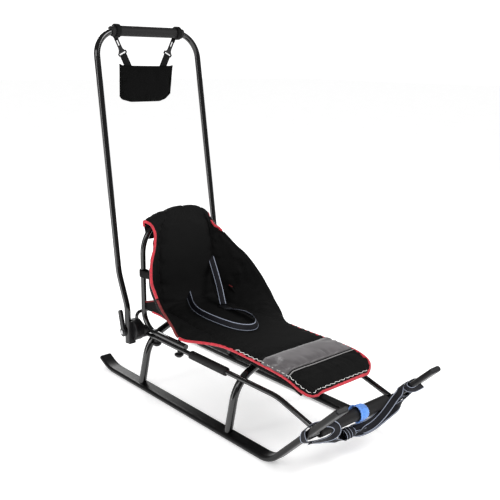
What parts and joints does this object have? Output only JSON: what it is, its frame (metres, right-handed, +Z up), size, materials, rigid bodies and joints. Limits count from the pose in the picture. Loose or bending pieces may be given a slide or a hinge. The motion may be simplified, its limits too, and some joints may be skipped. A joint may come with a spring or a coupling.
{
  "type": "child's push sled",
  "caption": "Child's tubular push sled with flat-oval runners, a padded bucket seat, a folding push handle, a hanging bag and a tow strap.",
  "frame": {"origin": "on the ground under the centre of the sled's bounding box", "axes": "+X forward towards the raised toes, +Y to the sled's left, +Z up"},
  "size_m": [1.0028, 0.4192, 1.0477],
  "materials": {
    "black_paint": "glossy black powder coat",
    "black_plastic": "satin moulded plastic",
    "steel": "zinc plated",
    "foam": "closed-cell foam tube",
    "blue_fabric": "woven band",
    "seat_fabric": "padded woven fabric with a red edge binding",
    "webbing": "woven webbing with light edge threads"
  },
  "bodies": {
    "frame": {"back_frame": "black_paint", "foot_rest_band": "blue_fabric", "foot_rest_foam": "foam", "front_cross_tube": "black_paint", "harness_buckle": "black_plastic", "heel_cap_left": "black_plastic", "heel_cap_right": "black_plastic", "hinge_base_left": "black_plastic", "hinge_base_right": "black_plastic", "knob_front_left": "black_plastic", "knob_front_right": "black_plastic", "knob_rear_left": "black_plastic", "knob_rear_right": "black_plastic", "leg_arch_front": "black_paint", "leg_arch_rear": "black_paint", "rail_left": "black_paint", "rail_right": "black_paint", "rail_sleeve_left": "foam", "rail_sleeve_right": "foam", "rear_tie_hoop": "black_paint", "runner_left": "black_paint", "runner_right": "black_paint", "seat_back": "seat_fabric", "seat_base_tube": "black_paint", "seat_flap_left": "seat_fabric", "seat_flap_right": "seat_fabric", "seat_mat": "seat_fabric", "seat_wing_left": "seat_fabric", "seat_wing_right": "seat_fabric", "shoulder_strap": "webbing", "tie_strap_left": "webbing", "tie_strap_right": "webbing", "toe_cap_left": "black_plastic", "toe_cap_right": "black_plastic", "tow_strap_bundle": "webbing", "tow_strap_fan": "webbing", "tow_strap_span": "webbing", "waist_belt": "webbing"},
    "handle": {"handle_grip": "foam", "hinge_cap_left": "black_plastic", "hinge_cap_right": "black_plastic", "hinge_lever_left": "black_plastic", "hinge_lever_right": "black_plastic", "hinge_pin_left": "steel", "hinge_pin_right": "steel", "push_handle": "black_paint"},
    "bag": {"bag": "seat_fabric", "bag_hook_left": "black_plastic", "bag_hook_right": "black_plastic", "bag_strap_left": "seat_fabric", "bag_strap_right": "seat_fabric"}
  },
  "joints": [
    {"name": "handle_fold", "type": "hinge", "parent": "frame", "child": "handle", "pos_m": [-0.335, 0, 0.166], "axis": [0, 1, 0], "range_deg": [-75, 25]},
    {"name": "bag_swing", "type": "hinge", "parent": "handle", "child": "bag", "pos_m": [-0.4805, 0, 1.03], "axis": [0, 1, 0], "range_deg": [-40, 90]}
  ]
}
